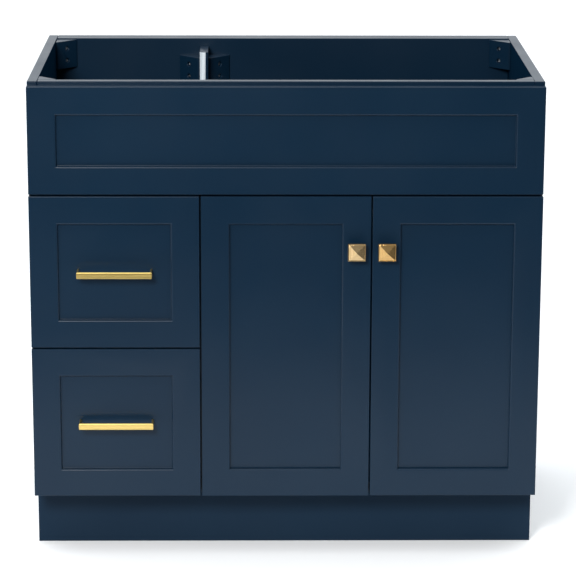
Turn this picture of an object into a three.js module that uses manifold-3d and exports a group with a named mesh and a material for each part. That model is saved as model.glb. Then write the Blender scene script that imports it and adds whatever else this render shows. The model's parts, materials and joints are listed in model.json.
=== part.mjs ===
// Bathroom vanity cabinet: a painted base with a fixed false front, two drawers and two doors.
// Millimetres, +Z up, the doors face -Y. The origin is on the floor, at the middle of the box.
import * as THREE from 'three';
import { mergeVertices } from 'three/addons/utils/BufferGeometryUtils.js';
import Module from 'manifold-3d';

const wasm = await Module();
wasm.setup();

// Overall sizes. The depth runs from the wall to the face of the doors.
const width = 914.4;
const height = 876.3;
const depth = 546.1;

// Clearances
const fitGap = 0.3;
const frontGap = 3;
const doorStandoff = 2.5;
const topReveal = 6.7;

// How far a cutting or joined solid runs past the face it meets
const overrun = 1;

// Facets round pins, eyes and screw recesses, and over the round end of a hinge link
const smallRoundSides = 20;
const linkEndSegments = 6;

// Carcass boards
const sideThickness = 18;
const bottomThickness = 18;
const backThickness = 16;
const partitionThickness = 16;
const railThickness = 18;
const frontRailHeight = 60;
const crossRailHeight = 60;
const backRailThickness = 22;
const backRailHeight = 100;

// Toe kick
const toeHeight = 114.3;
const toeSetback = 53;
const toeThickness = 15;

// Partition: a low run under the sink, with a tall ear at the back that carries two blocks
const partitionDrop = 86;
const earDrop = 15;
const earLength = 78;

// Cut-out for the water and waste pipes, in the back panel behind the doors
const pipeWidth = 380;
const pipeHeight = 215;
const pipeBelowRail = 16.3;

// Triangular glue blocks
const blockHeight = 53;
const blockTip = 4;
const backBlockLeg = 38;
const backBlockDrop = 2;
const frontBlockLeg = 31;
const innerBlockLeg = 40;
const innerBlockDrop = 32;
const screwRecessRadius = 4.5;
const screwRecessDepth = 6;
const screwDrops = [0.28, 0.72]; // as shares of the block's height

// Fronts: a flat border round a sunk panel
const frontThickness = 19;
const borderWidth = 49;
const panelRecess = 6.5;
const borderBevel = 2;
const falseFrontHeight = 193.5;
const doorPanelThickness = 6;
const grooveDepth = 8;

// Drawer boxes and their slides
const boxWall = 12;
const boxBottom = 6;
const boxBottomLift = 10;
const boxGroove = 5;
const boxAboveFrontFoot = 30;
const boxBelowFrontTop = 67.9;
const boxBackClearance = 38.5;
const slideEndGap = 10;
const slideSetback = 3;
const slideSpace = 12.7;
const slideWall = 1.2;
const memberGap = 0.8;
const outerHalf = 22.5;
const middleHalf = 19;
const innerHalf = 15;

// Bar pulls, screwed to the sunk panel of each drawer front
const pullLength = 134;
const pullReach = 30;
const pullHeight = 12;
const pullBar = 5.5;
const pullPost = 3.5;
const pullChamfer = 1.2;

// Square pyramid knobs, on the border of each door
const knobSize = 31.75;
const knobRim = 3;
const knobRimHeight = 8;
const knobPyramid = 6;
const knobNeck = 11;
const knobNeckSize = 11;
const knobNeckFlare = 1.6;
const knobTip = 2;
const knobFoot = 3;
const knobFootSize = 16;
const knobDrop = 97.5;

// Concealed cup hinges. u runs inwards from the hinged edge of the door, v back from the carcass face.
const cupRadius = 17.5;
const cupDepth = 12;
const cupWall = 1;
const cupFromEdge = 22.5;
const flangeThickness = 1;
const flangeWidth = 26;
const flangeHeight = 62;
const hingeFromEnd = 95;
const pivotFromFace = 6.5;
const pivotClearance = 0.69;
const linkPivot = { u: 32.8, v: 1.6 };
const linkBend = { u: 13.3, v: -11.9 };
const linkTip = { u: 9.1, v: -8 };
const linkHalfThickness = 1;
const linkHalfHeight = 5;
const linkEye = 2.3;
const pinRadius = 1;
const earThickness = 2.2;
const armHalfWidth = 4;
const armLength = 60;
const armSlot = 14;
const bossInset = 4;
const plateThickness = 2.5;
const plateStart = 18;
const plateLength = 40;
const plateHalfHeight = 22;

// Places worked out from the sizes above
const knobReach = knobFoot + knobNeck + knobRimHeight + knobPyramid + fitGap;
const handleReach = Math.max(knobReach, pullReach - panelRecess);
const backY = (depth + handleReach) / 2;
const faceY = backY - depth + frontThickness + doorStandoff;
const innerHalfWidth = width / 2 - sideThickness;
const backPanelY = backY - backThickness;
const backRailY = backPanelY - fitGap - backRailThickness;
const toeY = faceY + toeSetback;
const bottomTop = toeHeight + bottomThickness;
const falseFrontZ = height - topReveal - falseFrontHeight;
const lowerFrontHeight = falseFrontZ - frontGap - toeHeight;
const drawerFrontHeight = (lowerFrontHeight - frontGap) / 2;
const crossRailZ = falseFrontZ - frontGap / 2 - crossRailHeight / 2;
const columnWidth = (width - 2 * frontGap) / 3;
const partitionX = -width / 2 + columnWidth + frontGap / 2;
const partitionLeft = partitionX - partitionThickness / 2;
const partitionRight = partitionX + partitionThickness / 2;
const frontBackY = faceY - doorStandoff;
const boxFrontY = frontBackY + fitGap;
const boxHeight = drawerFrontHeight - boxAboveFrontFoot - boxBelowFrontTop;
const boxDepth = backRailY - boxBackClearance - boxFrontY;
const slideLength = boxDepth - slideEndGap;

// Slide members in section, measured out from the board: where each web stands and its flanges end
const middleStart = fitGap + slideWall + memberGap;
const innerTip = middleStart + slideWall + memberGap;
const innerStart = slideSpace - fitGap;
const middleTip = innerStart - slideWall - memberGap;
const outerTip = middleTip - memberGap;

// Finishes
const paint = () => new THREE.MeshStandardMaterial({ color: 0x22384e, roughness: 0.42, metalness: 0 });
const brass = () => new THREE.MeshStandardMaterial({ color: 0xc09a52, roughness: 0.34, metalness: 1 });
const steel = () => new THREE.MeshStandardMaterial({ color: 0xb9bdc1, roughness: 0.35, metalness: 1 });
const birch = () => new THREE.MeshStandardMaterial({ color: 0xcdb488, roughness: 0.6, metalness: 0 });

// Solids
function toSolid(geometry) {
  const bare = geometry.index ? geometry.clone() : geometry;
  bare.deleteAttribute('normal');
  bare.deleteAttribute('uv');
  const merged = mergeVertices(bare, 1e-4);
  const vertProperties = new Float32Array(merged.attributes.position.array);
  const triVerts = new Uint32Array(merged.index.array);
  return new wasm.Manifold(new wasm.Mesh({ numProp: 3, vertProperties, triVerts }));
}

function toGeometry(solid) {
  const mesh = solid.getMesh();
  const geometry = new THREE.BufferGeometry();
  geometry.setAttribute('position', new THREE.BufferAttribute(mesh.vertProperties, 3));
  geometry.setIndex(new THREE.BufferAttribute(mesh.triVerts, 1));
  geometry.computeVertexNormals();
  return geometry;
}

function join(...geometries) {
  return toGeometry(geometries.map(toSolid).reduce((whole, piece) => whole.add(piece)));
}

function cut(geometry, ...tools) {
  return toGeometry(tools.map(toSolid).reduce((whole, tool) => whole.subtract(tool), toSolid(geometry)));
}

function block(x0, x1, y0, y1, z0, z1) {
  const box = new THREE.BoxGeometry(Math.abs(x1 - x0), y1 - y0, z1 - z0);
  return box.translate((x0 + x1) / 2, (y0 + y1) / 2, (z0 + z1) / 2);
}

// A block whose front face (at y0) and back face (at y1) differ in size
function taperedBlock(frontWidth, frontHeight, backWidth, backHeight, y0, y1) {
  const box = new THREE.BoxGeometry(1, 1, 1);
  const position = box.attributes.position;
  for (let i = 0; i < position.count; i += 1) {
    const atFront = position.getY(i) < 0;
    const x = position.getX(i) * (atFront ? frontWidth : backWidth);
    const z = position.getZ(i) * (atFront ? frontHeight : backHeight);
    position.setXYZ(i, x, atFront ? y0 : y1, z);
  }
  return box;
}

function outline(points) {
  return new THREE.Shape(points.map(([a, b]) => new THREE.Vector2(a, b)));
}

// Outline in X and Y, raised from z0 to z1
function raise(shape, z0, z1, options = {}) {
  const geometry = new THREE.ExtrudeGeometry(shape, { depth: z1 - z0, bevelEnabled: false, ...options });
  return geometry.translate(0, 0, z0);
}

// Outline in Y and Z, run from x0 to x1
function runAcross(points, x0, x1) {
  const geometry = new THREE.ExtrudeGeometry(outline(points), { depth: x1 - x0, bevelEnabled: false });
  const turn = new THREE.Matrix4().set(0, 0, 1, x0, 1, 0, 0, 0, 0, 1, 0, 0, 0, 0, 0, 1);
  return geometry.applyMatrix4(turn);
}

// Outline in X and Z, run from y0 to y1
function runBack(points, y0, y1) {
  const shape = outline(points.map(([x, z]) => [z, x]));
  const geometry = new THREE.ExtrudeGeometry(shape, { depth: y1 - y0, bevelEnabled: false });
  const turn = new THREE.Matrix4().set(0, 1, 0, 0, 0, 0, 1, y0, 1, 0, 0, 0, 0, 0, 0, 1);
  return geometry.applyMatrix4(turn);
}

// A round bar along Y
function roundBar(radius, x, z, y0, y1, sides = 32) {
  return new THREE.CylinderGeometry(radius, radius, y1 - y0, sides).translate(x, (y0 + y1) / 2, z);
}

function addPiece(group, name, geometry, material) {
  const mesh = new THREE.Mesh(geometry, material);
  mesh.name = name;
  group.add(mesh);
  return mesh;
}

// Carcass
function buildCarcass(cabinet) {
  const notchBack = toeY + toeThickness + fitGap;
  const sideProfile = [
    [faceY, toeHeight],
    [notchBack, toeHeight],
    [notchBack, 0],
    [backY, 0],
    [backY, height],
    [faceY, height],
  ];
  const left = -width / 2;
  addPiece(cabinet, 'left_side', runAcross(sideProfile, left, left + sideThickness), paint());
  addPiece(cabinet, 'right_side', runAcross(sideProfile, innerHalfWidth, width / 2), paint());

  const reach = innerHalfWidth - fitGap;
  const bottom = block(-reach, reach, faceY, backPanelY - fitGap, toeHeight, bottomTop);
  addPiece(cabinet, 'bottom_panel', bottom, paint());

  const toeTop = toeHeight - fitGap;
  addPiece(cabinet, 'toe_kick', block(left, -left, toeY, toeY + toeThickness, 0, toeTop), paint());

  const pipeX = (partitionRight + innerHalfWidth) / 2;
  const pipeTop = height - backRailHeight - pipeBelowRail;
  const pipeHole = block(
    pipeX - pipeWidth / 2, pipeX + pipeWidth / 2,
    backPanelY - overrun, backY + overrun,
    pipeTop - pipeHeight, pipeTop,
  );
  const backPanel = cut(block(-reach, reach, backPanelY, backY, toeHeight, height), pipeHole);
  addPiece(cabinet, 'back_panel', backPanel, paint());

  const backRailEnd = backRailY + backRailThickness;
  const backRail = block(-reach, reach, backRailY, backRailEnd, height - backRailHeight, height);
  addPiece(cabinet, 'back_rail', backRail, paint());

  const railBack = faceY + railThickness;
  const frontRail = block(-reach, reach, faceY, railBack, height - frontRailHeight, height);
  addPiece(cabinet, 'front_rail', frontRail, paint());

  const crossRail = block(-reach, reach, faceY, railBack, crossRailZ, crossRailZ + crossRailHeight);
  addPiece(cabinet, 'cross_rail', crossRail, paint());
}

function buildPartition(cabinet) {
  const notchY = faceY + railThickness + fitGap;
  const earBackY = backRailY - fitGap;
  const lowBackY = backPanelY - fitGap;
  const railUnderside = height - backRailHeight - fitGap;
  const profile = [
    [faceY, bottomTop + fitGap],
    [lowBackY, bottomTop + fitGap],
    [lowBackY, railUnderside],
    [earBackY, railUnderside],
    [earBackY, height - earDrop],
    [earBackY - earLength, height - earDrop],
    [earBackY - earLength, height - partitionDrop],
    [faceY, height - partitionDrop],
    [faceY, crossRailZ + crossRailHeight + fitGap],
    [notchY, crossRailZ + crossRailHeight + fitGap],
    [notchY, crossRailZ - fitGap],
    [faceY, crossRailZ - fitGap],
  ];
  addPiece(cabinet, 'partition', runAcross(profile, partitionLeft, partitionRight), paint());
}

// A triangular block in a corner at (x, y). Its legs run along X by alongX and along Y by alongY,
// and two screws are sunk in its slanted face.
function cornerBlock(cabinet, name, x, y, alongX, alongY, leg, top) {
  const shape = outline([
    [x, y],
    [x + alongX * leg, y],
    [x + alongX * leg, y + alongY * blockTip],
    [x + alongX * blockTip, y + alongY * leg],
    [x, y + alongY * leg],
  ]);
  const slantMiddle = (leg + blockTip) / 2;
  const outward = new THREE.Vector3(alongX, alongY, 0).normalize();
  const recesses = screwDrops.map((share) => {
    const recess = new THREE.CylinderGeometry(
      screwRecessRadius, screwRecessRadius, 2 * screwRecessDepth, smallRoundSides,
    );
    recess.applyQuaternion(new THREE.Quaternion().setFromUnitVectors(new THREE.Vector3(0, 1, 0), outward));
    return recess.translate(x + alongX * slantMiddle, y + alongY * slantMiddle, top - share * blockHeight);
  });
  addPiece(cabinet, name, cut(raise(shape, top - blockHeight, top), ...recesses), paint());
}

function buildBlocks(cabinet) {
  const cornerX = innerHalfWidth - fitGap;
  const backY0 = backRailY - fitGap;
  const frontY0 = faceY + railThickness + fitGap;
  for (const [side, sign] of [['left', -1], ['right', 1]]) {
    const backTop = height - backBlockDrop;
    cornerBlock(cabinet, `back_block_${side}`, sign * cornerX, backY0, -sign, -1, backBlockLeg, backTop);
    cornerBlock(cabinet, `front_block_${side}`, sign * cornerX, frontY0, -sign, 1, frontBlockLeg, height);
  }
  const innerTop = height - innerBlockDrop;
  const leftX = partitionLeft - fitGap;
  const rightX = partitionRight + fitGap;
  cornerBlock(cabinet, 'partition_block_left', leftX, backY0, -1, -1, innerBlockLeg, innerTop);
  cornerBlock(cabinet, 'partition_block_right', rightX, backY0, 1, -1, innerBlockLeg, innerTop);
}

// The sunk field of a front: straight walls with a small bevel where they meet the border.
// The front is centred on X and Z, with its back at y = 0.
function fieldTool(frontWidth, frontHeight, fieldDepth) {
  const inset = 2 * (borderWidth + borderBevel);
  const fieldWidth = frontWidth - inset;
  const fieldHeight = frontHeight - inset;
  const faceFront = -frontThickness;
  const flare = 2 * (borderBevel + overrun);
  const straight = taperedBlock(
    fieldWidth, fieldHeight, fieldWidth, fieldHeight, faceFront - overrun, faceFront + fieldDepth,
  );
  const bevel = taperedBlock(
    fieldWidth + flare, fieldHeight + flare, fieldWidth, fieldHeight,
    faceFront - overrun, faceFront + borderBevel,
  );
  return join(straight, bevel);
}

function slab(frontWidth, frontHeight) {
  return taperedBlock(frontWidth, frontHeight, frontWidth, frontHeight, -frontThickness, 0);
}

function routedFront(frontWidth, frontHeight) {
  return cut(slab(frontWidth, frontHeight), fieldTool(frontWidth, frontHeight, panelRecess));
}

function buildFalseFront(cabinet) {
  const front = addPiece(cabinet, 'false_front', routedFront(width, falseFrontHeight), paint());
  front.position.set(0, faceY - fitGap, falseFrontZ + falseFrontHeight / 2);
}

// One member of a drawer slide, bent as a channel: a web at x = start and two flanges ending at x = tip
function channel(start, tip, half) {
  const webEnd = start + Math.sign(tip - start) * slideWall;
  return [
    [start, -half],
    [tip, -half],
    [tip, -half + slideWall],
    [webEnd, -half + slideWall],
    [webEnd, half - slideWall],
    [tip, half - slideWall],
    [tip, half],
    [start, half],
  ];
}

function slidePiece(group, name, profile, z) {
  const y0 = faceY + slideSetback;
  const mesh = addPiece(group, name, runBack(profile, y0, y0 + slideLength), steel());
  mesh.position.z = z;
}

function buildPull(drawer, name) {
  const half = pullLength / 2;
  const inner = half - pullPost;
  const shape = outline([
    [-half, 0],
    [-half, -pullReach],
    [half, -pullReach],
    [half, 0],
    [inner, 0],
    [inner, -pullReach + pullBar],
    [-inner, -pullReach + pullBar],
    [-inner, 0],
  ]);
  const chamfer = {
    bevelEnabled: true,
    bevelThickness: pullChamfer,
    bevelSize: pullChamfer,
    bevelOffset: -pullChamfer,
    bevelSegments: 1,
  };
  const straight = pullHeight / 2 - pullChamfer;
  const pull = addPiece(drawer, name, raise(shape, -straight, straight, chamfer), brass());
  pull.position.y = -frontThickness + panelRecess - fitGap;
}

function buildDrawer(cabinet, prefix, frontZ) {
  const drawer = new THREE.Group();
  drawer.position.set(-width / 2 + columnWidth / 2, frontBackY, frontZ + drawerFrontHeight / 2);
  cabinet.add(drawer);
  const front = routedFront(columnWidth, drawerFrontHeight);
  addPiece(drawer, `${prefix}_drawer_front`, front, paint());
  buildPull(drawer, `${prefix}_drawer_pull`);

  // The box hangs between the left side and the partition, with a slide on each side of it
  const box = new THREE.Group();
  const bayLeft = -innerHalfWidth;
  const boxX = (bayLeft + partitionLeft) / 2;
  const boxZ = frontZ + boxAboveFrontFoot;
  box.position.set(boxX, boxFrontY, boxZ);
  cabinet.add(box);
  const half = (partitionLeft - bayLeft) / 2 - slideSpace;
  const inside = half - boxWall;
  const groove = block(
    -inside - boxGroove, inside + boxGroove,
    boxWall - boxGroove, boxDepth + overrun,
    boxBottomLift, boxBottomLift + boxBottom + 2 * fitGap,
  );
  for (const [side, sign] of [['left', -1], ['right', 1]]) {
    const board = block(sign * inside, sign * half, 0, boxDepth, 0, boxHeight);
    addPiece(box, `${prefix}_box_${side}`, cut(board, groove), birch());
  }
  const across = inside - fitGap;
  const boxFront = cut(block(-across, across, 0, boxWall, 0, boxHeight), groove);
  addPiece(box, `${prefix}_box_front`, boxFront, birch());
  const backZ = boxBottomLift + boxBottom + 2 * fitGap;
  const boxBack = block(-across, across, boxDepth - boxWall, boxDepth, backZ, boxHeight);
  addPiece(box, `${prefix}_box_back`, boxBack, birch());
  const sheetReach = inside + boxGroove - fitGap;
  const sheetZ = boxBottomLift + fitGap;
  const sheet = block(
    -sheetReach, sheetReach, boxWall - boxGroove + fitGap, boxDepth, sheetZ, sheetZ + boxBottom,
  );
  addPiece(box, `${prefix}_box_bottom`, sheet, birch());

  const slideZ = boxZ + boxHeight / 2;
  for (const [side, faceX, sign] of [['left', bayLeft, 1], ['right', partitionLeft, -1]]) {
    for (const [member, start, tip, memberHalf] of [
      ['outer', fitGap, outerTip, outerHalf],
      ['middle', middleStart, middleTip, middleHalf],
      ['inner', innerStart, innerTip, innerHalf],
    ]) {
      const section = channel(faceX + sign * start, faceX + sign * tip, memberHalf);
      slidePiece(cabinet, `${prefix}_slide_${member}_${side}`, section, slideZ);
    }
  }
}

// A door: a grooved frame with a loose panel, a knob, and two hinge cups let into its back.
// Its group stands at the door's middle; hingeSign is -1 where the hinges are on the left.
function buildDoor(cabinet, prefix, leftEdge, hingeSign) {
  const door = new THREE.Group();
  door.position.set(leftEdge + columnWidth / 2, frontBackY, toeHeight + lowerFrontHeight / 2);
  cabinet.add(door);
  const panelSpan = columnWidth - 2 * (borderWidth + borderBevel);
  const panelRise = lowerFrontHeight - 2 * (borderWidth + borderBevel);
  const panelFront = -frontThickness + panelRecess;
  const panelBack = panelFront + doorPanelThickness;
  const groove = taperedBlock(
    panelSpan + 2 * grooveDepth, panelRise + 2 * grooveDepth,
    panelSpan + 2 * grooveDepth, panelRise + 2 * grooveDepth,
    panelFront - fitGap, panelBack + fitGap,
  );
  const cupX = hingeSign * (columnWidth / 2 - cupFromEdge);
  const hingeZ = lowerFrontHeight / 2 - hingeFromEnd;
  const bores = [-1, 1].map((end) => (
    roundBar(cupRadius + fitGap, cupX, end * hingeZ, -cupDepth - fitGap, overrun)
  ));
  const opening = fieldTool(columnWidth, lowerFrontHeight, frontThickness + overrun);
  const frame = cut(slab(columnWidth, lowerFrontHeight), opening, groove, ...bores);
  addPiece(door, `${prefix}_door_frame`, frame, paint());
  const tongue = 2 * (grooveDepth - fitGap);
  const panel = taperedBlock(
    panelSpan + tongue, panelRise + tongue, panelSpan + tongue, panelRise + tongue, panelFront, panelBack,
  );
  addPiece(door, `${prefix}_door_panel`, cut(panel, ...bores), paint());
  for (const [level, end] of [['lower', -1], ['upper', 1]]) {
    const cup = addPiece(door, `${prefix}_hinge_cup_${level}`, hingeCup(), steel());
    cup.position.set(cupX, 0, end * hingeZ);
  }
  const knob = addPiece(door, `${prefix}_door_knob`, knobShape(), brass());
  knob.position.x = -hingeSign * (columnWidth / 2 - (borderWidth + borderBevel) / 2);
  knob.position.y = -frontThickness - fitGap;
  knob.position.z = lowerFrontHeight / 2 - knobDrop;
}

function knobShape() {
  const neckY = -knobFoot - knobNeck;
  const headY = neckY - knobRimHeight;
  const field = knobSize - 2 * knobRim;
  const foot = taperedBlock(knobFootSize, knobFootSize, knobFootSize, knobFootSize, -knobFoot, 0);
  const flare = knobNeckSize * knobNeckFlare;
  const neck = taperedBlock(flare, flare, knobNeckSize, knobNeckSize, neckY - overrun, -knobFoot + overrun);
  const head = taperedBlock(knobSize, knobSize, knobSize, knobSize, headY, neckY);
  const pyramid = taperedBlock(knobTip, knobTip, field, field, headY - knobPyramid, headY + overrun);
  return join(foot, neck, head, pyramid);
}

function hingeCup() {
  const flangeBack = fitGap + flangeThickness;
  const cup = roundBar(cupRadius, 0, 0, -cupDepth, flangeBack);
  const across = flangeWidth / 2;
  const up = flangeHeight / 2;
  const flange = block(-across, across, fitGap, flangeBack, -up, up);
  const hollow = roundBar(cupRadius - cupWall, 0, 0, -cupDepth + cupWall, flangeBack + overrun);
  return cut(join(cup, flange), hollow);
}

// A bar with round ends between two points in plan
function barShape(from, to, radius) {
  const along = Math.atan2(to.y - from.y, to.x - from.x);
  const shape = new THREE.Shape();
  shape.absarc(to.x, to.y, radius, along - Math.PI / 2, along + Math.PI / 2, false);
  shape.absarc(from.x, from.y, radius, along + Math.PI / 2, along + 1.5 * Math.PI, false);
  return shape;
}

// The fixed arm of a hinge, on a plate against the board at faceU, and the link that reaches the cup
function buildHinge(cabinet, prefix, level, edgeX, sign, faceU, z) {
  const hinge = new THREE.Group();
  hinge.position.set(edgeX, faceY, z);
  cabinet.add(hinge);
  const at = (u) => sign * u;
  const place = (point) => new THREE.Vector2(at(point.u), point.v);
  const slotHalf = linkHalfHeight + fitGap;
  const armHalf = slotHalf + earThickness;
  const round = (radius, half) => {
    const disc = new THREE.CylinderGeometry(radius, radius, 2 * half, smallRoundSides).rotateX(Math.PI / 2);
    return disc.translate(at(linkPivot.u), linkPivot.v, 0);
  };

  const armNear = linkPivot.u - armHalfWidth;
  const armFar = linkPivot.u + armHalfWidth;
  const plateU = faceU + fitGap;
  const plateEnd = plateStart + plateLength;
  const plate = block(
    at(plateU), at(plateU + plateThickness), plateStart, plateEnd, -plateHalfHeight, plateHalfHeight,
  );
  const boss = block(
    at(plateU), at(armNear + overrun), plateStart + bossInset, plateEnd - bossInset, -armHalf, armHalf,
  );
  const beam = block(at(armNear), at(armFar), linkPivot.v + overrun, armLength, -armHalf, armHalf);
  const slot = block(
    at(armNear - overrun), at(armFar + overrun), -linkEye - overrun, armSlot, -slotHalf, slotHalf,
  );
  const nose = round(linkEye, armHalf);
  const pin = round(pinRadius, armHalf);
  const arm = join(cut(join(plate, boss, beam, nose), slot), pin);
  addPiece(hinge, `${prefix}_hinge_arm_${level}`, arm, steel());

  const pivot = place(linkPivot);
  const bend = place(linkBend);
  const tip = place(linkTip);
  const bars = [[pivot, bend], [bend, tip]].map(([from, to]) => {
    const shape = barShape(from, to, linkHalfThickness);
    return raise(shape, -linkHalfHeight, linkHalfHeight, { curveSegments: linkEndSegments });
  });
  const eye = round(linkEye, linkHalfHeight);
  const pinHole = round(pinRadius + fitGap, linkHalfHeight + overrun);
  const link = cut(join(...bars, eye), pinHole);
  addPiece(hinge, `${prefix}_hinge_link_${level}`, link, steel());
}

// The turning axis of a door stands clear of the board behind it and of the front beside it
function doorAxis(edgeX, sign) {
  const toBack = frontThickness - pivotFromFace;
  const inset = Math.sqrt(2 * toBack * doorStandoff + doorStandoff ** 2) - pivotClearance;
  return new THREE.Vector3(edgeX + sign * inset, frontBackY - toBack, 0);
}

function buildVanity() {
  const cabinet = new THREE.Group();
  buildCarcass(cabinet);
  buildPartition(cabinet);
  buildBlocks(cabinet);
  buildFalseFront(cabinet);
  buildDrawer(cabinet, 'upper', toeHeight + drawerFrontHeight + frontGap);
  buildDrawer(cabinet, 'lower', toeHeight);

  const leftDoorEdge = partitionX + frontGap / 2;
  const rightDoorEdge = width / 2;
  buildDoor(cabinet, 'left', leftDoorEdge, -1);
  buildDoor(cabinet, 'right', rightDoorEdge - columnWidth, 1);
  for (const [level, fromFloor] of [
    ['lower', toeHeight + hingeFromEnd],
    ['upper', toeHeight + lowerFrontHeight - hingeFromEnd],
  ]) {
    buildHinge(cabinet, 'left', level, leftDoorEdge, 1, partitionRight - leftDoorEdge, fromFloor);
    buildHinge(cabinet, 'right', level, rightDoorEdge, -1, sideThickness, fromFloor);
  }
  cabinet.userData.axes = {
    leftDoor: doorAxis(leftDoorEdge, 1),
    rightDoor: doorAxis(rightDoorEdge, -1),
    leftLinks: new THREE.Vector3(leftDoorEdge + linkPivot.u, faceY + linkPivot.v, 0),
    rightLinks: new THREE.Vector3(rightDoorEdge - linkPivot.u, faceY + linkPivot.v, 0),
  };
  return cabinet;
}

export default buildVanity();
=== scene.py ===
import json
import math
import bmesh
import bpy
from mathutils import Matrix, Vector

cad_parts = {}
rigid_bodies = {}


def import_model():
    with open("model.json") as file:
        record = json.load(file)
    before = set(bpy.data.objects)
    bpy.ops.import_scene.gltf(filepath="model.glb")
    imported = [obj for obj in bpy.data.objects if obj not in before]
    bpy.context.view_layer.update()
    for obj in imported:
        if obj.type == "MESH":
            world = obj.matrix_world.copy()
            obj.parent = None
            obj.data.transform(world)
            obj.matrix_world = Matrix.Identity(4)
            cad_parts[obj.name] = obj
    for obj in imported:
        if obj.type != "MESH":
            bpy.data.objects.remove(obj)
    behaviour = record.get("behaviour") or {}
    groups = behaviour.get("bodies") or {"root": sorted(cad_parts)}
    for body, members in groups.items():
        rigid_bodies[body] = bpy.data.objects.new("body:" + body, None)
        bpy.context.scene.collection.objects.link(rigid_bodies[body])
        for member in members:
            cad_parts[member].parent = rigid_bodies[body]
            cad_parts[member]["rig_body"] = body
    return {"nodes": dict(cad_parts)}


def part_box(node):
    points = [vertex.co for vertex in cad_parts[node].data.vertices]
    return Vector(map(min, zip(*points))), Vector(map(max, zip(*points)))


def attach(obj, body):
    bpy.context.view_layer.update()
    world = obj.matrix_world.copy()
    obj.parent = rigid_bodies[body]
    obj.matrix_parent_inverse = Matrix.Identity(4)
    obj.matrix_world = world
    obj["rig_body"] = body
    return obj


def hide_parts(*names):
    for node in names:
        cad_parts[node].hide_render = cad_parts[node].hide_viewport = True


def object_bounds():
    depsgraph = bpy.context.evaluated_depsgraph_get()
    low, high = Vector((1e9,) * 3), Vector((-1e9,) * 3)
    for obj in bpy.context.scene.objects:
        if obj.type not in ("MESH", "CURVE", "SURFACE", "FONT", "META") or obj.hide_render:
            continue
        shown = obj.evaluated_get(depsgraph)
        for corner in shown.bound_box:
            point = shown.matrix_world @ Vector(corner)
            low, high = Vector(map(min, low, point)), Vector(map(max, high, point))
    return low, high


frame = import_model()
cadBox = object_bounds()
nodes = frame["nodes"]
mm = 0.001
print("vanity frame loaded,", len(nodes), "parts")


# Small helpers for node materials

def startMaterial(name, values):
    material = bpy.data.materials.new(name)
    material.use_nodes = True
    tree = material.node_tree
    shader = tree.nodes["Principled BSDF"]
    for socket, value in values.items():
        shader.inputs[socket].default_value = value
    place = tree.nodes.new("ShaderNodeTexCoord").outputs["Object"]
    return material, tree, shader, place


def stretch(tree, place, scale):
    mapping = tree.nodes.new("ShaderNodeMapping")
    mapping.inputs["Scale"].default_value = scale
    tree.links.new(place, mapping.inputs["Vector"])
    return mapping.outputs["Vector"]


def noise(tree, place, scale, detail=2.0, roughness=0.5):
    texture = tree.nodes.new("ShaderNodeTexNoise")
    texture.inputs["Scale"].default_value = scale
    texture.inputs["Detail"].default_value = detail
    texture.inputs["Roughness"].default_value = roughness
    tree.links.new(place, texture.inputs["Vector"])
    return texture.outputs["Fac"]


def ramp(tree, factor, stops):
    colours = tree.nodes.new("ShaderNodeValToRGB")
    band = colours.color_ramp.elements
    while len(band) < len(stops):
        band.new(0.5)
    for element, (position, colour) in zip(band, stops):
        element.position = position
        element.color = colour
    tree.links.new(factor, colours.inputs["Fac"])
    return colours.outputs["Color"]


def spread(tree, factor, low, high):  # noise lies mostly between 0.3 and 0.7
    mapRange = tree.nodes.new("ShaderNodeMapRange")
    mapRange.inputs["From Min"].default_value = 0.3
    mapRange.inputs["From Max"].default_value = 0.7
    mapRange.inputs["To Min"].default_value = low
    mapRange.inputs["To Max"].default_value = high
    tree.links.new(factor, mapRange.inputs["Value"])
    return mapRange.outputs["Result"]


def bump(tree, height, strength, distance, under=None):
    relief = tree.nodes.new("ShaderNodeBump")
    relief.inputs["Strength"].default_value = strength
    relief.inputs["Distance"].default_value = distance
    tree.links.new(height, relief.inputs["Height"])
    if under:
        tree.links.new(under, relief.inputs["Normal"])
    return relief.outputs["Normal"]


# Navy lacquer: sprayed, satin, with a little orange peel and slow clouds in colour and sheen

navyLacquer = {
    "deep": (0.0025, 0.0152, 0.0345, 1),
    "clear": (0.0036, 0.0184, 0.0402, 1),
    "clouds": 2.3,
    "satin": (0.28, 0.35),
    "satinPatches": 7.0,
    "innerSatin": (0.62, 0.72),
    "innerShine": 0.0,
    "toeShine": 0.17,
    "peel": 520.0,
    "peelDepth": 0.05 * mm,
    "peelStrength": 0.4,
    "swell": 38.0,
    "swellDepth": 0.12 * mm,
    "swellStrength": 0.35,
    "shine": 0.235,
}


def makeNavyLacquer(name, satin, shine):
    material, tree, shader, place = startMaterial(name, {"Specular IOR Level": shine})
    clouds = noise(tree, place, navyLacquer["clouds"], detail=4)
    colour = ramp(tree, clouds, [(0.3, navyLacquer["deep"]), (0.7, navyLacquer["clear"])])
    tree.links.new(colour, shader.inputs["Base Color"])
    patches = noise(tree, place, navyLacquer["satinPatches"], detail=5)
    tree.links.new(spread(tree, patches, *satin), shader.inputs["Roughness"])
    swell = noise(tree, place, navyLacquer["swell"], detail=1)
    swelling = bump(tree, swell, navyLacquer["swellStrength"], navyLacquer["swellDepth"])
    peel = noise(tree, place, navyLacquer["peel"], detail=1)
    relief = bump(tree, peel, navyLacquer["peelStrength"], navyLacquer["peelDepth"], swelling)
    tree.links.new(relief, shader.inputs["Normal"])
    return material


# Brushed brass: fine lines along X on the pulls, along Z on the knobs

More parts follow.
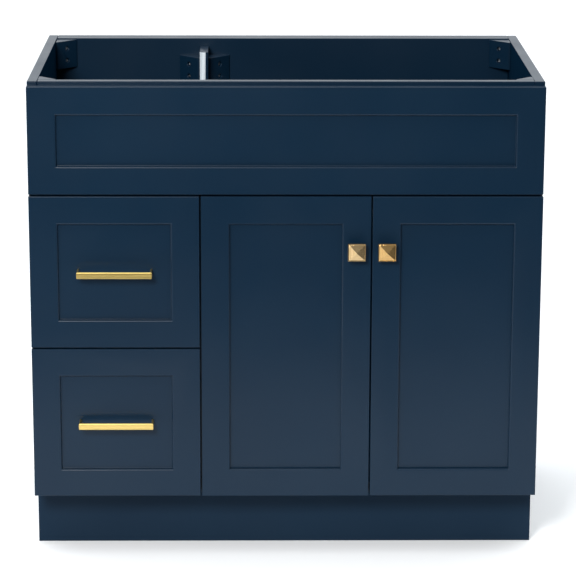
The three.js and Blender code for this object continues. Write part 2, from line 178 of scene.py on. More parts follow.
brushedBrass = {
    "pull": [(0.66, 0.47, 0.140, 1), (0.85, 0.63, 0.215, 1)],
    # the two knobs are the same brass: the left knob's paler tones and the right knob's deeper tones are
    # painted light, lit and shaded copies of one brass
    "leftKnob": [(0.54, 0.370, 0.175, 1), (0.70, 0.51, 0.275, 1)],
    "rightKnob": [(0.53, 0.325, 0.120, 1), (0.68, 0.44, 0.180, 1)],
    "lineLength": 0.03,
    "linesAcross": 10.0,
    "fineness": 95.0,
    "pullSheen": (0.30, 0.40),
    "knobSheen": (0.14, 0.21),
    "lineDepth": 0.012 * mm,
    "lineStrength": 0.5,
}


def makeBrass(name, along, tones, sheen):
    material, tree, shader, place = startMaterial(name, {"Metallic": 1.0})
    scale = [brushedBrass["linesAcross"]] * 3
    scale["xyz".index(along)] = brushedBrass["lineLength"]
    lines = noise(tree, stretch(tree, place, scale), brushedBrass["fineness"], detail=3, roughness=0.65)
    tone = ramp(tree, lines, [(0.32, tones[0]), (0.62, tones[1])])
    tree.links.new(tone, shader.inputs["Base Color"])
    tree.links.new(spread(tree, lines, *sheen), shader.inputs["Roughness"])
    relief = bump(tree, lines, brushedBrass["lineStrength"], brushedBrass["lineDepth"])
    tree.links.new(relief, shader.inputs["Normal"])
    return material


# Zinc-plated steel for slides, hinges and screws

zincSteel = {
    "bright": (0.60, 0.61, 0.63, 1),
    "dull": (0.50, 0.51, 0.53, 1),
    "spangle": 70.0,
    "rollMarks": 500.0,
    "markStretch": (1, 0.03, 1),
    "sheen": (0.28, 0.38),
    "markDepth": 0.006 * mm,
    "markStrength": 0.3,
}


def makeZincSteel():
    material, tree, shader, place = startMaterial("zincSteel", {"Metallic": 1.0})
    spangle = noise(tree, place, zincSteel["spangle"], detail=3)
    tone = ramp(tree, spangle, [(0.35, zincSteel["dull"]), (0.65, zincSteel["bright"])])
    tree.links.new(tone, shader.inputs["Base Color"])
    tree.links.new(spread(tree, spangle, *zincSteel["sheen"]), shader.inputs["Roughness"])
    marks = noise(tree, stretch(tree, place, zincSteel["markStretch"]), zincSteel["rollMarks"])
    relief = bump(tree, marks, zincSteel["markStrength"], zincSteel["markDepth"])
    tree.links.new(relief, shader.inputs["Normal"])
    return material


# Birch: growth bands and fine fibres running along one axis, under a thin clear varnish

birchWood = {
    "pale": (0.735, 0.565, 0.375, 1),
    "honey": (0.610, 0.430, 0.255, 1),
    "fibre": (0.470, 0.315, 0.175, 1),
    "bands": 26.0,
    "fibres": 420.0,
    "alongGrain": 0.045,
    "fibreShare": 0.3,
    "varnish": (0.38, 0.56),
    "varnishWeight": 0.15,
    "varnishRoughness": 0.3,
    "shine": 0.4,
    "poreDepth": 0.05 * mm,
    "poreStrength": 0.4,
}


def makeBirch(name, along):
    values = {"Coat Weight": birchWood["varnishWeight"], "Coat Roughness": birchWood["varnishRoughness"],
              "Specular IOR Level": birchWood["shine"]}
    material, tree, shader, place = startMaterial(name, values)
    scale = [1.0, 1.0, 1.0]
    scale["xyz".index(along)] = birchWood["alongGrain"]
    grainPlace = stretch(tree, place, scale)
    bands = noise(tree, grainPlace, birchWood["bands"], detail=4, roughness=0.55)
    fibres = noise(tree, grainPlace, birchWood["fibres"], detail=3, roughness=0.7)
    both = tree.nodes.new("ShaderNodeMix")
    both.inputs["Factor"].default_value = birchWood["fibreShare"]
    tree.links.new(bands, both.inputs["A"])
    tree.links.new(fibres, both.inputs["B"])
    grain = both.outputs["Result"]
    stops = [(0.34, birchWood["fibre"]), (0.46, birchWood["honey"]), (0.62, birchWood["pale"])]
    tree.links.new(ramp(tree, grain, stops), shader.inputs["Base Color"])
    tree.links.new(spread(tree, grain, *birchWood["varnish"]), shader.inputs["Roughness"])
    relief = bump(tree, fibres, birchWood["poreStrength"], birchWood["poreDepth"])
    tree.links.new(relief, shader.inputs["Normal"])
    return material


# Clear vinyl for the door bumpers, a pale edging with a painted highlight for the partition's ear, grey
# nylon for the hinge stops

vinyl = {"low": (0.62, 0.65, 0.66, 1), "high": (0.74, 0.76, 0.76, 1), "grain": 900.0}
# the ear's edging is a real pale edge band whose extent is a painted highlight: it covers only the side
# of the nose that the key light falls on
edgingWithPaintedHighlight = {"low": (0.54, 0.60, 0.65, 1), "high": (0.62, 0.685, 0.735, 1), "grain": 700.0}
nylon = {"low": (0.16, 0.165, 0.17, 1), "high": (0.22, 0.225, 0.23, 1), "grain": 1400.0}
plasticSurface = {"sheen": (0.32, 0.5), "grainDepth": 0.02 * mm, "grainStrength": 0.25}


def makePlastic(name, colours, values):
    material, tree, shader, place = startMaterial(name, values)
    grain = noise(tree, place, colours["grain"])
    tone = ramp(tree, grain, [(0.35, colours["low"]), (0.65, colours["high"])])
    tree.links.new(tone, shader.inputs["Base Color"])
    tree.links.new(spread(tree, grain, *plasticSurface["sheen"]), shader.inputs["Roughness"])
    relief = bump(tree, grain, plasticSurface["grainStrength"], plasticSurface["grainDepth"])
    tree.links.new(relief, shader.inputs["Normal"])
    return material


lacquer = makeNavyLacquer("navyLacquer", navyLacquer["satin"], navyLacquer["shine"])
innerLacquer = makeNavyLacquer("navyInnerLacquer", navyLacquer["innerSatin"], navyLacquer["innerShine"])
toeLacquer = makeNavyLacquer("navyToeLacquer", navyLacquer["innerSatin"], navyLacquer["toeShine"])
pullBrass = makeBrass("brassAlongPull", "x", brushedBrass["pull"], brushedBrass["pullSheen"])
knobBrass = {}
# each knob gets its own brass tones, a painted difference in light between two identical knobs
for side in ("left", "right"):
    knobTones = brushedBrass[side + "Knob"]
    knobBrass[side] = makeBrass(side + "KnobBrass", "z", knobTones, brushedBrass["knobSheen"])
steel = makeZincSteel()
birchAlongDepth = makeBirch("birchAlongDepth", "y")
birchAcross = makeBirch("birchAcross", "x")
clearVinyl = makePlastic("clearVinyl", vinyl, {"Transmission Weight": 0.5, "IOR": 1.46})
greyNylon = makePlastic("greyNylon", nylon, {})
# pale edge band on the ear, with a painted highlight in where it is laid
paleEdgingWithPaintedHighlight = makePlastic("paleEdgingWithPaintedHighlight", edgingWithPaintedHighlight, {})
print("finishes ready")


# Small helpers for pieces

meshCare = {"mergeWithin": 0.004 * mm, "flatWithin": 0.6, "touching": 0.1 * mm}


def bodyOf(nodeName):
    return nodes[nodeName]["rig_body"]


def addPiece(name, form, body, material, replaced=(), sharpAngle=32):
    for face in form.faces:
        face.smooth = True
    mesh = bpy.data.meshes.new(name)
    form.to_mesh(mesh)
    form.free()
    mesh.set_sharp_from_angle(angle=math.radians(sharpAngle))
    mesh.materials.append(material)
    piece = bpy.data.objects.new(name, mesh)
    bpy.context.scene.collection.objects.link(piece)
    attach(piece, body)
    if replaced:
        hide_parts(*replaced)
    return piece


def roundEdges(piece, width, segments=3, sharperThan=30):
    rounding = piece.modifiers.new("roundedEdges", "BEVEL")
    rounding.width = width
    rounding.segments = segments
    rounding.limit_method = "ANGLE"
    rounding.angle_limit = math.radians(sharperThan)
    rounding.harden_normals = True
    return piece


def cleanCopy(nodeName):  # the CAD part's mesh with its loose triangles merged into whole faces
    form = bmesh.new()
    form.from_mesh(nodes[nodeName].data)
    bmesh.ops.remove_doubles(form, verts=form.verts, dist=meshCare["mergeWithin"])
    flat = math.radians(meshCare["flatWithin"])
    bmesh.ops.dissolve_limit(form, angle_limit=flat, verts=form.verts, edges=form.edges)
    return form


def finishPart(nodeName, material, edge, segments=3):
    form = cleanCopy(nodeName)
    name = nodeName + "_finished"
    piece = addPiece(name, form, bodyOf(nodeName), material, [nodeName])
    return roundEdges(piece, edge, segments)


def addBlock(form, low, high):
    cube = bmesh.ops.create_cube(form, size=1.0)["verts"]
    size = Vector(high) - Vector(low)
    bmesh.ops.scale(form, vec=size, verts=cube)
    bmesh.ops.translate(form, vec=(Vector(low) + Vector(high)) / 2, verts=cube)
    return cube


# A screw head with its cross slot, made facing +Z and then turned to face a direction.
# The sizes are shares of its radius, and the top and slot depth are shares of its height.
screwHead = {
    "sides": 24,
    "top": 0.49,
    "taper": 0.175,
    "rim": 0.252,
    "slotHalf": 0.13,
    "slotReach": 0.6,
    "slotDepth": 0.5,
}


def insideRim(face, radius, height):  # a face on the flat top, within the slot's reach
    middle = face.calc_center_median()
    onTop = middle.z > height * screwHead["top"] and face.normal.z > 0.99
    return onTop and middle.to_2d().length < radius * screwHead["slotReach"]


def makeScrew(place, facing, radius, height):
    form = bmesh.new()
    bmesh.ops.create_cone(form, cap_ends=True, segments=screwHead["sides"], radius1=radius,
                          radius2=radius * (1 - screwHead["taper"]), depth=height)
    top = max(form.faces, key=lambda f: f.calc_center_median().z)
    bmesh.ops.inset_region(form, faces=[top], thickness=radius * screwHead["rim"])
    half = radius * screwHead["slotHalf"]
    for normal in (Vector((1, 0, 0)), Vector((0, 1, 0))):
        for sign in (-1, 1):
            inner = [f for f in form.faces if insideRim(f, radius, height)]
            edges = {e for f in inner for e in f.edges}
            verts = {v for f in inner for v in f.verts}
            bmesh.ops.bisect_plane(form, geom=list(verts) + list(edges) + inner, dist=1e-7,
                                   plane_co=normal * half * sign, plane_no=normal)
    slot = []
    for face in form.faces:
        middle = face.calc_center_median()
        if insideRim(face, radius, height) and (abs(middle.x) < half or abs(middle.y) < half):
            slot.append(face)
    sunk = bmesh.ops.extrude_face_region(form, geom=slot)["geom"]
    bmesh.ops.delete(form, geom=slot, context="FACES_ONLY")
    floorVerts = [g for g in sunk if isinstance(g, bmesh.types.BMVert)]
    bmesh.ops.translate(form, vec=(0, 0, -height * screwHead["slotDepth"]), verts=floorVerts)
    turn = Vector((0, 0, 1)).rotation_difference(Vector(facing)).to_matrix().to_4x4()
    bmesh.ops.transform(form, matrix=Matrix.Translation(place) @ turn, verts=form.verts)
    return form


def addScrews(name, body, screws):
    form = bmesh.new()
    for screw in screws:
        one = makeScrew(*screw)
        mesh = bpy.data.meshes.new("oneScrew")
        one.to_mesh(mesh)
        one.free()
        form.from_mesh(mesh)
        bpy.data.meshes.remove(mesh)
    return addPiece(name, form, body, steel)


# Carcass boards, corner blocks, partition and toe kick

carcass = {
    "edge": 0.7 * mm,
    "frameEdge": 1.5 * mm,
    "boards": ["bottom_panel", "back_panel", "back_rail", "cross_rail"],
    "frame": ["left_side", "right_side", "front_rail"],
    "blocks": ["back_block_left", "back_block_right", "front_block_left", "front_block_right",
               "partition_block_left", "partition_block_right"],
    "earNose": 7.2 * mm,
    "earNoseSteps": 8,
}


def buildCarcass():
    for nodeName in carcass["boards"] + carcass["blocks"]:
        finishPart(nodeName, lacquer, carcass["edge"])
    finishPart("toe_kick", toeLacquer, carcass["edge"])
    for nodeName in carcass["frame"]:
        board = finishPart(nodeName, lacquer, carcass["frameEdge"])
        board.data.materials.append(innerLacquer)
        for face in board.data.polygons:  # the sides' inner faces are duller
            if abs(face.normal.x) > 0.9 and face.normal.x * face.center.x < 0:
                face.material_index = 1


def buildPartition():
    form = cleanCopy("partition")
    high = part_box("partition")[1]
    near = meshCare["touching"]
    earFront = min(v.co.y for v in form.verts if v.co.z > high.z - near)
    nose = []
    for edge in form.edges:
        a, b = (v.co for v in edge.verts)
        onNose = abs(a.y - earFront) < near and abs(b.y - earFront) < near
        if onNose and abs(a.x - b.x) < near:
            nose.append(edge)
    bmesh.ops.bevel(form, geom=nose, offset=carcass["earNose"], segments=carcass["earNoseSteps"],
                    profile=0.5, affect="EDGES", material=-1)
    piece = addPiece("partition_finished", form, "root", lacquer, ["partition"])
    piece.data.materials.append(paleEdgingWithPaintedHighlight)
    for face in piece.data.polygons:  # a pale edging covers the rounded front of the ear, but only on the faces turned towards the key light on the left, so where it stops is a painted highlight
        onNose = earFront - near < face.center.y < earFront + carcass["earNose"]
        if onNose and abs(face.normal.z) < 0.1 and face.normal.y < -0.05 and face.normal.x < 0.2:
            face.material_index = 1
    roundEdges(piece, carcass["edge"], 2)


# Screws sunk in the slanted faces of the corner blocks
blockScrews = {"shares": (0.28, 0.72), "radius": 3.5 * mm, "height": 1.8 * mm, "sunk": 1.1 * mm}


def buildBlockScrews():
    for nodeName in carcass["blocks"]:
        low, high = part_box(nodeName)
        corners = {}
        for vertex in nodes[nodeName].data.vertices:
            if vertex.co.z > high.z - meshCare["touching"]:
                corners[(round(vertex.co.x, 5), round(vertex.co.y, 5))] = vertex.co
        # the slanted face's middle is the box's middle, and most of the block lies behind it
        middle = Vector(((low.x + high.x) / 2, (low.y + high.y) / 2, 0))
        heavy = sum((Vector((c.x, c.y, 0)) for c in corners.values()), Vector()) / len(corners)
        lean = middle - heavy
        outward = Vector((math.copysign(1, lean.x), math.copysign(1, lean.y), 0)).normalized()
        tallness = high.z - low.z
        screws = []
        for share in blockScrews["shares"]:
            level = high.z - share * tallness
            place = Vector((middle.x, middle.y, level)) - outward * blockScrews["sunk"]
            screws.append((place, outward, blockScrews["radius"], blockScrews["height"]))
        addScrews(nodeName + "_screws", "root", screws)


buildCarcass()
buildPartition()
buildBlockScrews()
print("carcass painted, blocks screwed")


# False front, drawer fronts and doors

fronts = {
    "edge": 1.15 * mm,
    "edgeSteps": 4,
    "parts": ["false_front", "upper_drawer_front", "lower_drawer_front", "left_door_frame",
              "right_door_frame"],
    "panels": ["left_door_panel", "right_door_panel"],
    "panelEdge": 0.3 * mm,
}

for frontPart in fronts["parts"]:
    finishPart(frontPart, lacquer, fronts["edge"], fronts["edgeSteps"])
for doorPanel in fronts["panels"]:
    finishPart(doorPanel, lacquer, fronts["panelEdge"], 1)
print("fronts and doors painted")


# Brass pulls and knobs

pull = {"edge": 0.2 * mm}

for drawerName in ("upper", "lower"):
    finishPart(drawerName + "_drawer_pull", pullBrass, pull["edge"], 1)

knob = {
    "foot": 16.0 * mm,
    "footDepth": 3.0 * mm,
    "neckBack": 14.5 * mm,
    "neckFront": 10.5 * mm,
    "headDepth": 6.4 * mm,
    "rim": 1.9 * mm,
    "groove": 0.6 * mm,
    "grooveWidth": 0.5 * mm,
    "pyramid": 7.6 * mm,
    "edge": 0.8 * mm,
    "ridgeAngle": 55,
    "sharpAngle": 12,
}


def buildKnob(side):
    nodeName = side + "_door_knob"
    low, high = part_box(nodeName)
    centre = (low + high) / 2
    backY = high.y
    headBack = low.y + knob["pyramid"] + knob["headDepth"]
    headFront = low.y + knob["pyramid"]
    form = bmesh.new()
    half = knob["foot"] / 2
    addBlock(form, (centre.x - half, backY - knob["footDepth"], centre.z - half),
             (centre.x + half, backY, centre.z + half))
    neck = bmesh.ops.create_cone(
        form, cap_ends=True, segments=4, radius1=knob["neckBack"] / math.sqrt(2),
        radius2=knob["neckFront"] / math.sqrt(2), depth=backY - knob["footDepth"] - headBack)["verts"]
    bmesh.ops.rotate(form, verts=neck, matrix=Matrix.Rotation(math.radians(45), 3, "Z"))
    bmesh.ops.rotate(form, verts=neck, matrix=Matrix.Rotation(math.radians(90), 3, "X"))
    neckY = (backY - knob["footDepth"] + headBack) / 2
    bmesh.ops.translate(form, verts=neck, vec=(centre.x, neckY, centre.z))
    head = addBlock(form, (low.x, headFront, low.z), (high.x, headBack, high.z))
    face = next(f for f in form.faces if all(v in head for v in f.verts) and f.normal.y < -0.9)
    bmesh.ops.inset_region(form, faces=[face], thickness=knob["rim"])
    bmesh.ops.inset_region(form, faces=[face], thickness=knob["grooveWidth"])
    bmesh.ops.translate(form, verts=face.verts, vec=(0, knob["groove"], 0))
    apex = bmesh.ops.poke(form, faces=[face])["verts"]
    bmesh.ops.translate(form, verts=apex, vec=(0, low.y - apex[0].co.y, 0))
    piece = addPiece(nodeName + "_finished", form, bodyOf(nodeName), knobBrass[side],
                     [nodeName], knob["sharpAngle"])
    roundEdges(piece, knob["edge"], 2, knob["ridgeAngle"])  # the pyramid's ridges stay crisp


for knobSide in ("left", "right"):
    buildKnob(knobSide)
print("brass fitted")


# Birch drawer boxes with dovetailed fronts

drawerBox = {
    "edge": 0.5 * mm,
    "frontEdge": 0.2 * mm,
    "bottomEdge": 0.25 * mm,
    "tails": 6,
    "pinHalf": 2.6 * mm,
    "slope": 0.16,
    "jointGap": 0.12 * mm,
}


def prismAlongX(form, points, x0, x1):  # points are (y, z)
    base = form.faces.new([form.verts.new((x0, y, z)) for y, z in points])
    grown = bmesh.ops.extrude_face_region(form, geom=[base])["geom"]
    top = [g for g in grown if isinstance(g, bmesh.types.BMVert)]
    bmesh.ops.translate(form, vec=(x1 - x0, 0, 0), verts=top)


def pinLevels(low, high):
    pitch = (high - low) / drawerBox["tails"]
    return [low + pitch * k for k in range(drawerBox["tails"] + 1)]


def tailedSide(nodeName, frontY, wall):
    low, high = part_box(nodeName)
    half = drawerBox["pinHalf"]
    root = half + wall * drawerBox["slope"]
    rootY = frontY + wall
    points = []
    for level in pinLevels(low.z, high.z):
        notch = [(frontY, level - half), (rootY, level - root), (rootY, level + root),
                 (frontY, level + half)]
        if level < low.z + half:
            notch = [(rootY, low.z), (rootY, level + root), (frontY, level + half)]
        if level > high.z - half:
            notch = [(frontY, level - half), (rootY, level - root), (rootY, high.z)]
        points += notch
    points += [(high.y, high.z), (high.y, low.z)]
    form = bmesh.new()
    prismAlongX(form, points, low.x, high.x)
    bmesh.ops.recalc_face_normals(form, faces=form.faces)
    piece = addPiece(nodeName + "_finished", form, bodyOf(nodeName), birchAlongDepth,
                     [nodeName])
    roundEdges(piece, drawerBox["edge"], 2)


def pinnedFront(nodeName, sideNames, wall):
    low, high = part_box(nodeName)
    form = bmesh.new()
    addBlock(form, low, high)
    half = drawerBox["pinHalf"] - drawerBox["jointGap"]
    root = half + wall * drawerBox["slope"]
    for sideName in sideNames:
        sideLow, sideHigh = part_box(sideName)
        for level in pinLevels(sideLow.z, sideHigh.z):
            section = [(low.y, max(level - half, low.z)), (low.y, min(level + half, high.z)),
                       (high.y, min(level + root, high.z)), (high.y, max(level - root, low.z))]
            prismAlongX(form, section, sideLow.x, sideHigh.x)
    bmesh.ops.recalc_face_normals(form, faces=form.faces)
    piece = addPiece(nodeName + "_finished", form, bodyOf(nodeName), birchAcross,
                     [nodeName])
    roundEdges(piece, drawerBox["frontEdge"], 1)


# Screws inside each drawer: four hold the front, two with wider heads hold the pull
drawerScrews = {
    "radius": 4.2 * mm,
    "pullRadius": 4.83 * mm,
    "height": 2.0 * mm,
    "fromSide": 46 * mm,
    "fromMiddle": 48 * mm,
    "fromPullEnd": 1.75 * mm,
}


def buildDrawerBox(prefix):
    frontName = prefix + "_box_front"
    sideNames = [prefix + "_box_left", prefix + "_box_right"]
    low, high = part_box(frontName)
    wall = high.y - low.y
    for sideName in sideNames:
        tailedSide(sideName, low.y, wall)
    pinnedFront(frontName, sideNames, wall)
    finishPart(prefix + "_box_back", birchAcross, drawerBox["edge"], 2)
    finishPart(prefix + "_box_bottom", birchAlongDepth, drawerBox["bottomEdge"], 1)

    middleZ = (low.z + high.z) / 2
    inward = Vector((0, 1, 0))
    lift = drawerScrews["height"] / 2
    screws = []
    for x in (low.x + drawerScrews["fromSide"], high.x - drawerScrews["fromSide"]):
        for z in (middleZ - drawerScrews["fromMiddle"], middleZ + drawerScrews["fromMiddle"]):
            screws.append(((x, high.y + lift, z), inward, drawerScrews["radius"],
                           drawerScrews["height"]))
    pullLow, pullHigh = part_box(prefix + "_drawer_pull")
    for x in (pullLow.x + drawerScrews["fromPullEnd"], pullHigh.x - drawerScrews["fromPullEnd"]):
        screws.append(((x, high.y + lift, (pullLow.z + pullHigh.z) / 2), inward,
                       drawerScrews["pullRadius"], drawerScrews["height"]))
    addScrews(prefix + "_drawer_screws", bodyOf(frontName), screws)


for drawerName in ("upper", "lower"):
    buildDrawerBox(drawerName)
print("drawer boxes dovetailed")


# Ball-bearing slides: rolled members, screws in the inner ones, balls in their cages

slides = {
    "edge": 0.25 * mm,
    "screwRadius": 3.4 * mm,
    "screwHeight": 1.0 * mm,
    "screwShares": (0.08, 0.46, 0.86),
    "web": 1.2 * mm,
    "ball": 1.15 * mm,
    "balls": 14,
    "ballPitch": 9.0 * mm,
    "firstBall": 12 * mm,
    "cageThickness": 0.5 * mm,
    "cageHalf": 2.6 * mm,
    "cagePastBalls": 5 * mm,
    "raceLevel": 16.4 * mm,
}


def buildSlide(prefix, side):
    names = {part: f"{prefix}_slide_{part}_{side}" for part in ("outer", "middle", "inner")}
    for nodeName in names.values():
        finishPart(nodeName, steel, slides["edge"], 1)
    low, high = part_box(names["inner"])
    towardsSide = -1 if side == "left" else 1  # out of the channel, towards the board it hangs on
    webX = high.x - slides["web"] if side == "left" else low.x + slides["web"]
    middleZ = (low.z + high.z) / 2
    screws = []
    for share in slides["screwShares"]:
        y = low.y + share * (high.y - low.y)
        place = (webX + towardsSide * slides["screwHeight"] / 2, y, middleZ)
        screws.append((place, (towardsSide, 0, 0), slides["screwRadius"], slides["screwHeight"]))
    addScrews(f"{prefix}_slide_screws_{side}", bodyOf(names["inner"]), screws)

    midLow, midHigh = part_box(names["middle"])
    raceX = (midLow.x + midHigh.x) / 2
    first = midLow.y + slides["firstBall"]
    last = first + (slides["balls"] - 1) * slides["ballPitch"]
    strip, half, past = slides["cageThickness"] / 2, slides["cageHalf"], slides["cagePastBalls"]
    form = bmesh.new()
    for sign in (-1, 1):
        raceZ = middleZ + sign * slides["raceLevel"]
        for k in range(slides["balls"]):
            spot = Matrix.Translation((raceX, first + k * slides["ballPitch"], raceZ))
            bmesh.ops.create_uvsphere(form, u_segments=8, v_segments=6, radius=slides["ball"],
                                      matrix=spot)
        addBlock(form, (raceX - half, first - past, raceZ - strip),
                 (raceX + half, last + past, raceZ + strip))
    addPiece(f"{prefix}_slide_balls_{side}", form, bodyOf(names["middle"]), steel)


for drawerName in ("upper", "lower"):
    for slideSide in ("left", "right"):
        buildSlide(drawerName, slideSide)
print("slides fitted")


# Concealed hinges: cups, arms and links, their screws, and stops on the left door's arms

hinges = {
    "edge": 0.3 * mm,
    "cupScrewRise": 24.3 * mm,
    "cupScrewStand": 0.35,  # how far the middle of a head stands out, as a share of its height
    "plateScrewRise": 14.8 * mm,
    "plateThickness": 2.5 * mm,
    "plateScrewFromBack": 22 * mm,
    "screwRadius": 3.5 * mm,
    "screwHeight": 0.9 * mm,
    "adjusterRadius": 2.7 * mm,
    "adjusterHeight": 1.2 * mm,
    "adjusterPlaces": (0.30, 0.62),
    "stopSide": "left",
    "stopFrom": 9.0 * mm,
    "stopThickness": 4.0 * mm,
    "stopWidth": 8.0 * mm,
    "stopHalf": 4.6 * mm,
    "stopEdge": 0.6 * mm,
}


def addStop(armName):  # a nylon block in the slot of the arm, which ends the door's swing
    low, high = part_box(armName)
    middleZ = (low.z + high.z) / 2
    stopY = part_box("partition")[0].y + hinges["stopFrom"]
    form = bmesh.new()
    addBlock(form, (high.x - hinges["stopWidth"], stopY, middleZ - hinges["stopHalf"]),
             (high.x, stopY + hinges["stopThickness"], middleZ + hinges["stopHalf"]))
    roundEdges(addPiece(armName + "_stop", form, "root", greyNylon), hinges["stopEdge"], 2)


def buildHinge(side, level):
    cupName = f"{side}_hinge_cup_{level}"
    armName = f"{side}_hinge_arm_{level}"
    linkName = f"{side}_hinge_link_{level}"
    for nodeName in (cupName, armName, linkName):
        finishPart(nodeName, steel, hinges["edge"], 2)
    radius, height = hinges["screwRadius"], hinges["screwHeight"]
    low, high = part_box(cupName)
    middle = (low + high) / 2
    rise = hinges["cupScrewRise"]
    standY = high.y + height * hinges["cupScrewStand"]
    screws = [((middle.x, standY, middle.z + sign * rise), (0, 1, 0), radius, height)
              for sign in (-1, 1)]
    addScrews(cupName + "_screws", bodyOf(cupName), screws)

    low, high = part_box(armName)
    middle = (low + high) / 2
    facing = 1 if side == "left" else -1  # away from the board that carries the plate
    plate = hinges["plateThickness"]
    plateFace = low.x + plate if facing > 0 else high.x - plate
    armFace = high.x if facing > 0 else low.x
    plateY = high.y - hinges["plateScrewFromBack"]
    screws = [((plateFace + facing * height / 2, plateY, middle.z + sign * hinges["plateScrewRise"]),
               (facing, 0, 0), radius, height) for sign in (-1, 1)]
    depth = high.y - low.y
    rise = hinges["adjusterHeight"]
    for share in hinges["adjusterPlaces"]:
        place = (armFace + facing * rise / 2, high.y - share * depth, middle.z)
        screws.append((place, (facing, 0, 0), hinges["adjusterRadius"], rise))
    addScrews(armName + "_screws", "root", screws)
    if side == hinges["stopSide"]:
        addStop(armName)


for doorSide in ("left", "right"):
    for hingeLevel in ("lower", "upper"):
        buildHinge(doorSide, hingeLevel)


# Bumpers on the back of each door, at the corners away from its hinges
bumper = {
    "radius": 4.8 * mm,
    "faceRadius": 3.744 * mm,
    "height": 1.6 * mm,
    "edge": 0.4 * mm,
    "fromEdge": 12 * mm,
    "fromEnd": 15 * mm,
}


def buildBumpers(side):
    low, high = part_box(side + "_door_frame")
    x = high.x - bumper["fromEdge"] if side == "left" else low.x + bumper["fromEdge"]
    form = bmesh.new()
    for z in (low.z + bumper["fromEnd"], high.z - bumper["fromEnd"]):
        place = Matrix.Translation((x, high.y + bumper["height"] / 2, z))
        turn = Matrix.Rotation(math.radians(-90), 4, "X")
        bmesh.ops.create_cone(form, cap_ends=True, segments=32, radius1=bumper["radius"],
                              radius2=bumper["faceRadius"], depth=bumper["height"],
                              matrix=place @ turn)
    piece = addPiece(side + "_door_bumpers", form, side + "_door", clearVinyl)
    roundEdges(piece, bumper["edge"], 2)


for doorSide in ("left", "right"):
    buildBumpers(doorSide)
print("hinges, screws and bumpers fitted")


# Studio: pale floor, soft light, camera

studio = {
    "floorLow": (-5, -1.4),
    "floorHigh": (1.7, 16),
    "floorDrop": 0.2 * mm,
    "paperShade": (0.90, 0.90, 0.905, 1),
    "paperWhite": (0.93, 0.93, 0.93, 1),
    "paperClouds": 3.0,
    "paperRoughness": 0.9,
    "paperShine": 0.1,
    "paperGlow": 0.20,
    "backdrop": (1.0, 1.0, 1.0, 1),
    "glowColour": (0.925, 0.968, 1.0, 1),
    "frontGlow": 0.11,
    "backGlow": 1.15,
    "depthRange": (-0.35, 0.55),
    "topGlow": 2.0,
    "topGlowFrom": 0.70,
    "keyPlace": (-1.15, -3.9, 2.6),
    "keySize": (1.0, 1.0),
    "keyPower": 160,
    "keyTarget": (0, -0.25, 0.5),
    "sidePlace": (-2.3, -2.3, 0.4),
    "sideSize": (1.7, 1.3),
    "sidePower": 9,
    "sideTarget": (0, -0.25, 0.4),
}


def buildFloor():
    form = bmesh.new()
    bmesh.ops.create_grid(form, x_segments=1, y_segments=1, size=0.5)
    (x0, y0), (x1, y1) = studio["floorLow"], studio["floorHigh"]
    bmesh.ops.scale(form, vec=(x1 - x0, y1 - y0, 1), verts=form.verts)
    floorZ = cadBox[0].z - studio["floorDrop"]
    bmesh.ops.translate(form, vec=((x0 + x1) / 2, (y0 + y1) / 2, floorZ), verts=form.verts)
    mesh = bpy.data.meshes.new("studioFloor")
    form.to_mesh(mesh)
    form.free()
    values = {"Roughness": studio["paperRoughness"], "Specular IOR Level": studio["paperShine"]}
    material, tree, shader, place = startMaterial("studioPaper", values)
    clouds = noise(tree, place, studio["paperClouds"], detail=3)
    paper = ramp(tree, clouds, [(0.3, studio["paperShade"]), (0.7, studio["paperWhite"])])
    tree.links.new(paper, shader.inputs["Base Color"])
    shader.inputs["Emission Color"].default_value = studio["backdrop"]  # a slight glow keeps it white
    shader.inputs["Emission Strength"].default_value = studio["paperGlow"]
    mesh.materials.append(material)
    floor = bpy.data.objects.new("studioFloor", mesh)
    bpy.context.scene.collection.objects.link(floor)


def glowBy(tree, source, seen, glows):
    share = tree.nodes.new("ShaderNodeMapRange")
    for socket, value in zip(("From Min", "From Max", "To Min", "To Max"), seen + glows):
        share.inputs[socket].default_value = value
    tree.links.new(source, share.inputs["Value"])
    return share.outputs["Result"]


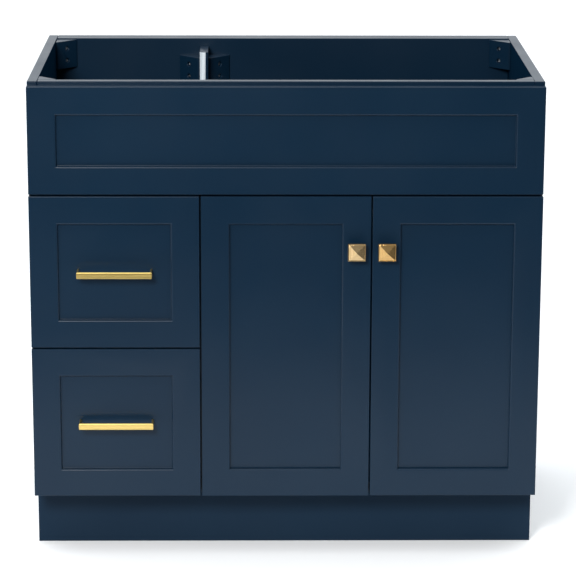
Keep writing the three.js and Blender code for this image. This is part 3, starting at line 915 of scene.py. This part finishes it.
def buildWorld():  # bright overhead and behind the cabinet, dim in front of it, plain white to look at
    world = bpy.data.worlds.new("studioWorld")
    bpy.context.scene.world = world
    world.use_nodes = True
    tree = world.node_tree
    glow = tree.nodes["Background"]
    glow.inputs["Color"].default_value = studio["glowColour"]
    direction = tree.nodes.new("ShaderNodeTexCoord").outputs["Generated"]
    split = tree.nodes.new("ShaderNodeSeparateXYZ")
    tree.links.new(direction, split.inputs["Vector"])
    depthGlows = (studio["frontGlow"], studio["backGlow"])
    depthGlow = glowBy(tree, split.outputs["Y"], studio["depthRange"], depthGlows)
    topGlow = glowBy(tree, split.outputs["Z"], (studio["topGlowFrom"], 1.0), (0.0, studio["topGlow"]))
    total = tree.nodes.new("ShaderNodeMath")
    total.operation = "ADD"
    tree.links.new(depthGlow, total.inputs[0])
    tree.links.new(topGlow, total.inputs[1])
    tree.links.new(total.outputs["Value"], glow.inputs["Strength"])
    plain = tree.nodes.new("ShaderNodeBackground")
    plain.inputs["Color"].default_value = studio["backdrop"]
    choose = tree.nodes.new("ShaderNodeMixShader")
    tree.links.new(tree.nodes.new("ShaderNodeLightPath").outputs["Is Camera Ray"],
                   choose.inputs["Fac"])
    tree.links.new(glow.outputs["Background"], choose.inputs[1])
    tree.links.new(plain.outputs["Background"], choose.inputs[2])
    tree.links.new(choose.outputs["Shader"], tree.nodes["World Output"].inputs["Surface"])


def addSoftbox(which):
    name = which + "Softbox"
    light = bpy.data.lights.new(name, "AREA")
    light.shape = "RECTANGLE"
    light.size, light.size_y = studio[which + "Size"]
    light.energy = studio[which + "Power"]
    softbox = bpy.data.objects.new(name, light)
    bpy.context.scene.collection.objects.link(softbox)
    softbox.location = studio[which + "Place"]
    aim = Vector(studio[which + "Target"]) - softbox.location
    softbox.rotation_euler = aim.to_track_quat("-Z", "Y").to_euler()
    softbox.visible_camera = False


camera = {"place": (-0.059, -4.722, 1.657), "pitch": 14.46, "yaw": 0.76, "roll": 0.18, "lens": 161.0}


def buildCamera():
    lens = bpy.data.cameras.new("studioCamera")
    lens.sensor_width = 36
    lens.lens = camera["lens"]
    body = bpy.data.objects.new("studioCamera", lens)
    bpy.context.scene.collection.objects.link(body)
    body.location = camera["place"]
    body.rotation_euler = (math.radians(90 - camera["pitch"]), math.radians(-camera["roll"]),
                           math.radians(-camera["yaw"]))
    bpy.context.scene.camera = body


buildFloor()
buildWorld()
addSoftbox("key")
addSoftbox("side")
buildCamera()
bpy.context.scene.view_settings.view_transform = "Standard"
print("studio set")
